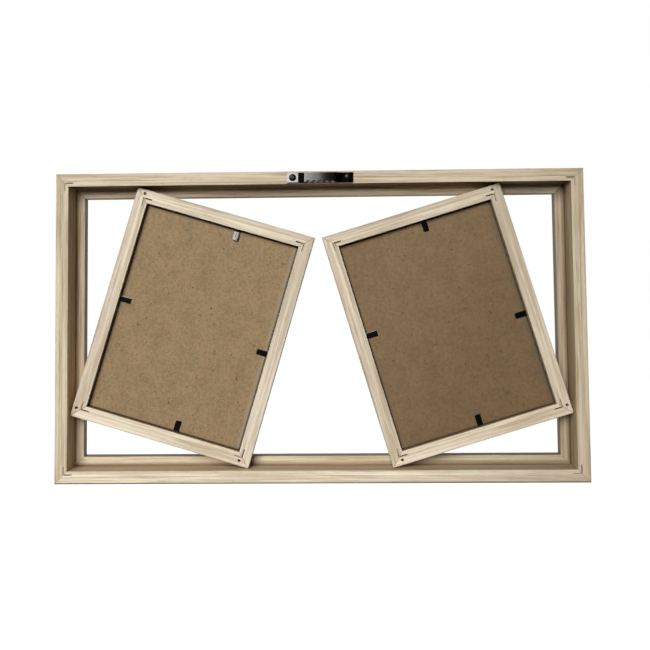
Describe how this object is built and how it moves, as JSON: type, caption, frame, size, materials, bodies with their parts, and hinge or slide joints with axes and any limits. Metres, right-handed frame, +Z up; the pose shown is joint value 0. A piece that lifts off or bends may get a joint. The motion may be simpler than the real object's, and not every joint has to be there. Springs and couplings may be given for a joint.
{
  "type": "double picture frame",
  "caption": "Wide wooden box frame with two upright picture frames leaning apart inside it, seen from the back, with bendable tabs and a sawtooth hanger.",
  "frame": {"origin": "middle of the flat bottom face of the bottom rail, which the frame stands on", "axes": "+X along the length, to the right when looking at the back; +Y towards the front, away from the wall; +Z up"},
  "size_m": [0.5068, 0.0373, 0.2966],
  "materials": {
    "outer_wood": "pale beige grain, matt",
    "inner_wood": "pale beige grain, matt",
    "hardboard": "brown pressed fibre, matt",
    "glass": "clear float glass",
    "card": "blank off-white card",
    "nail_steel": "dull blued steel",
    "tab_steel": "black lacquer",
    "pin_steel": "dull dark steel",
    "hanger_steel": "glossy black steel",
    "screw_steel": "black steel"
  },
  "bodies": {
    "box": {"outer_rail_left": "outer_wood", "outer_rail_top": "outer_wood", "outer_rail_right": "outer_wood", "outer_rail_bottom": "outer_wood", "outer_nail_top_left": "nail_steel", "outer_nail_top_right": "nail_steel", "outer_nail_bottom_right": "nail_steel", "outer_nail_bottom_left": "nail_steel", "left_rail_left": "inner_wood", "left_rail_top": "inner_wood", "left_rail_right": "inner_wood", "left_rail_bottom": "inner_wood", "left_nail_top_left": "nail_steel", "left_nail_top_right": "nail_steel", "left_nail_bottom_right": "nail_steel", "left_nail_bottom_left": "nail_steel", "left_pane": "glass", "left_card": "card", "left_board": "hardboard", "left_root_left": "tab_steel", "left_root_top": "tab_steel", "left_root_right": "tab_steel", "left_root_bottom": "tab_steel", "left_pin_top": "pin_steel", "left_pin_left": "pin_steel", "left_pin_bottom": "pin_steel", "right_rail_left": "inner_wood", "right_rail_top": "inner_wood", "right_rail_right": "inner_wood", "right_rail_bottom": "inner_wood", "right_nail_top_left": "nail_steel", "right_nail_top_right": "nail_steel", "right_nail_bottom_right": "nail_steel", "right_nail_bottom_left": "nail_steel", "right_pane": "glass", "right_card": "card", "right_board": "hardboard", "right_root_left": "tab_steel", "right_root_top": "tab_steel", "right_root_right": "tab_steel", "right_root_bottom": "tab_steel", "right_pin_top": "pin_steel", "right_pin_right": "pin_steel", "right_pin_bottom": "pin_steel", "hanger": "hanger_steel", "hanger_screw_left": "screw_steel", "hanger_screw_right": "screw_steel"},
    "left_tongue_bottom": {"left_tab_bottom": "tab_steel"},
    "left_tongue_left": {"left_tab_left": "tab_steel"},
    "left_tongue_right": {"left_tab_right": "tab_steel"},
    "left_tongue_top": {"left_tab_top": "tab_steel"},
    "right_tongue_bottom": {"right_tab_bottom": "tab_steel"},
    "right_tongue_left": {"right_tab_left": "tab_steel"},
    "right_tongue_right": {"right_tab_right": "tab_steel"},
    "right_tongue_top": {"right_tab_top": "tab_steel"}
  },
  "joints": [
    {"name": "left_tab_bottom_bend", "type": "hinge", "parent": "box", "child": "left_tongue_bottom", "pos_m": [-0.13951, -0.00335, 0.04718], "axis": [0.9583, 0, -0.2857], "range_deg": [0, 90]},
    {"name": "left_tab_left_bend", "type": "hinge", "parent": "box", "child": "left_tongue_left", "pos_m": [-0.19373, -0.00335, 0.17603], "axis": [-0.2857, 0, -0.9583], "range_deg": [0, 90]},
    {"name": "left_tab_right_bend", "type": "hinge", "parent": "box", "child": "left_tongue_right", "pos_m": [-0.05071, -0.00335, 0.12058], "axis": [0.2857, 0, 0.9583], "range_deg": [0, 90]},
    {"name": "left_tab_top_bend", "type": "hinge", "parent": "box", "child": "left_tongue_top", "pos_m": [-0.07836, -0.00335, 0.24151], "axis": [-0.9583, 0, 0.2857], "range_deg": [-12, 78]},
    {"name": "right_tab_bottom_bend", "type": "hinge", "parent": "box", "child": "right_tongue_bottom", "pos_m": [0.15353, -0.00335, 0.05136], "axis": [0.9583, 0, 0.2857], "range_deg": [0, 90]},
    {"name": "right_tab_left_bend", "type": "hinge", "parent": "box", "child": "right_tongue_left", "pos_m": [0.04574, -0.00335, 0.13726], "axis": [0.2857, 0, -0.9583], "range_deg": [0, 90]},
    {"name": "right_tab_right_bend", "type": "hinge", "parent": "box", "child": "right_tongue_right", "pos_m": [0.19899, -0.00335, 0.15837], "axis": [-0.2857, 0, 0.9583], "range_deg": [0, 90]},
    {"name": "right_tab_top_bend", "type": "hinge", "parent": "box", "child": "right_tongue_top", "pos_m": [0.10198, -0.00335, 0.24855], "axis": [-0.9583, 0, -0.2857], "range_deg": [0, 90]}
  ]
}
